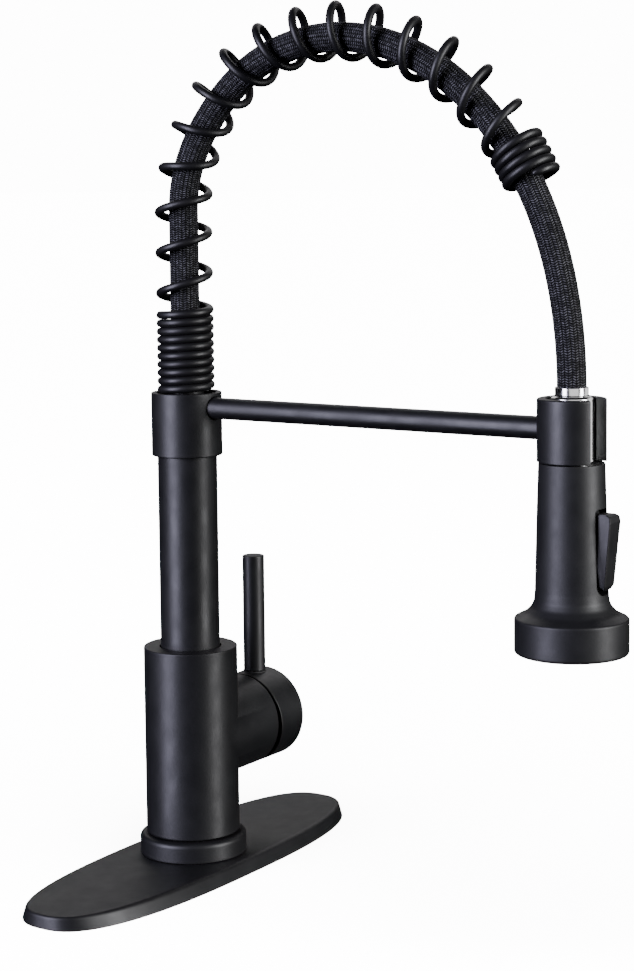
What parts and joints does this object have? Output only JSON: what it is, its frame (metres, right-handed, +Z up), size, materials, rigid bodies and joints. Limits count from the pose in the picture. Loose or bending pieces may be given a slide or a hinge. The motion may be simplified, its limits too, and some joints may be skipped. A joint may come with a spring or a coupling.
{
  "type": "pull-down kitchen faucet",
  "caption": "Single-lever deck faucet with a riser, a coil spring arch over a braided hose, a docking arm and a pull-down spray head with a rocker.",
  "frame": {"origin": "on the riser's axis at the deck surface, which is the underside of the deck plate and of the mounting base", "axes": "+Z up along the riser, -Y towards the spray head, +X towards the lever and along the deck plate"},
  "size_m": [0.2484, 0.2897, 0.4493],
  "materials": {
    "deck_plate": "satin black powder coat",
    "base_ring": "satin black powder coat",
    "body_shell": "satin black powder coat",
    "handle_cap": "satin black powder coat",
    "lever_rod": "satin black powder coat",
    "riser_tube": "satin black powder coat",
    "collar": "satin black powder coat",
    "support_arm": "satin black powder coat",
    "dock": "satin black powder coat",
    "spring": "satin black powder coat",
    "deck_backing": "matte black",
    "screw_plug": "matte black",
    "check_valve": "matte black",
    "spray_body": "matte black",
    "rocker": "matte black",
    "face_ring": "matte black",
    "aerator": "matte black",
    "stem_carrier": "matte black",
    "swivel_bush": "matt, off-white",
    "cartridge_body": "matt, off-white",
    "head_core": "matt, off-white",
    "spray_plate": "matt, off-white",
    "fixed_disc": "matt, off-white",
    "moving_disc": "matt, off-white",
    "mounting_base": "satin black powder coat",
    "valve_block": "turned, bare",
    "riser_foot": "turned, bare",
    "spring_spigot": "satin black powder coat",
    "cartridge_nut": "turned, bare",
    "inlet_tube_cold": "bare steel",
    "inlet_tube_hot": "bare steel",
    "bush_clip": "bare steel",
    "stem": "bare steel",
    "stem_pin": "bare steel",
    "cap_screw": "bare steel",
    "collar_screw": "bare steel",
    "hose_sleeve_lower": "bare steel",
    "neck_clip": "bare steel",
    "rocker_pin": "bare steel",
    "diverter_spool": "bare steel",
    "aerator_mesh": "bare steel",
    "swivel_neck": "polished",
    "hose_sleeve_upper": "polished",
    "base_seal": "matt",
    "cartridge_seal": "matt",
    "riser_seal_upper": "matt",
    "riser_seal_lower": "matt",
    "lever_washer": "matt",
    "neck_seal": "matt",
    "face_seal": "matt",
    "nozzle_pad": "matt",
    "hose": "black braided polyester sleeve"
  },
  "bodies": {
    "base": {"deck_plate": "deck_plate", "deck_backing": "deck_backing", "mounting_base": "mounting_base", "base_ring": "base_ring", "base_seal": "base_seal", "inlet_tube_cold": "inlet_tube_cold", "inlet_tube_hot": "inlet_tube_hot", "body_shell": "body_shell", "swivel_bush": "swivel_bush", "bush_clip": "bush_clip", "valve_block": "valve_block", "cartridge_seal": "cartridge_seal", "cartridge_body": "cartridge_body", "cartridge_nut": "cartridge_nut", "fixed_disc": "fixed_disc"},
    "spout": {"riser_tube": "riser_tube", "riser_foot": "riser_foot", "riser_seal_upper": "riser_seal_upper", "riser_seal_lower": "riser_seal_lower", "collar": "collar", "collar_screw": "collar_screw", "spring_spigot": "spring_spigot", "support_arm": "support_arm", "dock": "dock", "hose": "hose", "spring": "spring", "hose_sleeve_lower": "hose_sleeve_lower"},
    "stem_carrier": {"stem_carrier": "stem_carrier", "stem_pin": "stem_pin"},
    "handle": {"stem": "stem", "handle_cap": "handle_cap", "lever_rod": "lever_rod", "lever_washer": "lever_washer", "cap_screw": "cap_screw", "screw_plug": "screw_plug"},
    "moving_disc": {"moving_disc": "moving_disc"},
    "neck": {"swivel_neck": "swivel_neck", "neck_seal": "neck_seal", "neck_clip": "neck_clip", "hose_sleeve_upper": "hose_sleeve_upper"},
    "head": {"spray_body": "spray_body", "head_core": "head_core", "check_valve": "check_valve", "rocker_pin": "rocker_pin", "face_ring": "face_ring", "face_seal": "face_seal", "spray_plate": "spray_plate", "nozzle_pad": "nozzle_pad", "aerator": "aerator", "aerator_mesh": "aerator_mesh"},
    "rocker": {"rocker": "rocker"},
    "diverter_spool": {"diverter_spool": "diverter_spool"}
  },
  "joints": [
    {"name": "spout_swivel", "type": "hinge", "parent": "base", "child": "spout", "pos_m": [0, 0, 0.1], "axis": [0, 0, 1], "continuous": true},
    {"name": "handle_turn", "type": "hinge", "parent": "base", "child": "stem_carrier", "pos_m": [0.036, 0, 0.0681], "axis": [1, 0, 0], "range_deg": [-45, 45]},
    {"name": "handle_tilt", "type": "hinge", "parent": "stem_carrier", "child": "handle", "pos_m": [0.036, 0, 0.0681], "axis": [0, 1, 0], "range_deg": [0, 11]},
    {"name": "disc_slide", "type": "slide", "parent": "stem_carrier", "child": "moving_disc", "axis": [0, 0, 1], "range_m": [0, 0.0021]},
    {"name": "head_pull", "type": "slide", "parent": "spout", "child": "neck", "axis": [0, 0, -1], "range_m": [0, 0.06], "stiffness_N_per_m": 60, "springref_m": -0.08, "deforming": ["hose", "spring"]},
    {"name": "head_swivel", "type": "hinge", "parent": "neck", "child": "head", "pos_m": [0, -0.2246, 0.22], "axis": [0, 0, 1], "continuous": true},
    {"name": "rocker_tilt", "type": "hinge", "parent": "head", "child": "rocker", "pos_m": [0, -0.2378, 0.188], "axis": [-1, 0, 0], "range_deg": [0, 9]},
    {"name": "spool_slide", "type": "slide", "parent": "head", "child": "diverter_spool", "axis": [0, 1, 0], "range_m": [0, 0.0018]}
  ],
  "couplings": [
    {"joint": "disc_slide", "follows": "handle_tilt", "m_per_rad": 0.0105},
    {"joint": "spool_slide", "follows": "rocker_tilt", "m_per_rad": 0.0105}
  ]
}
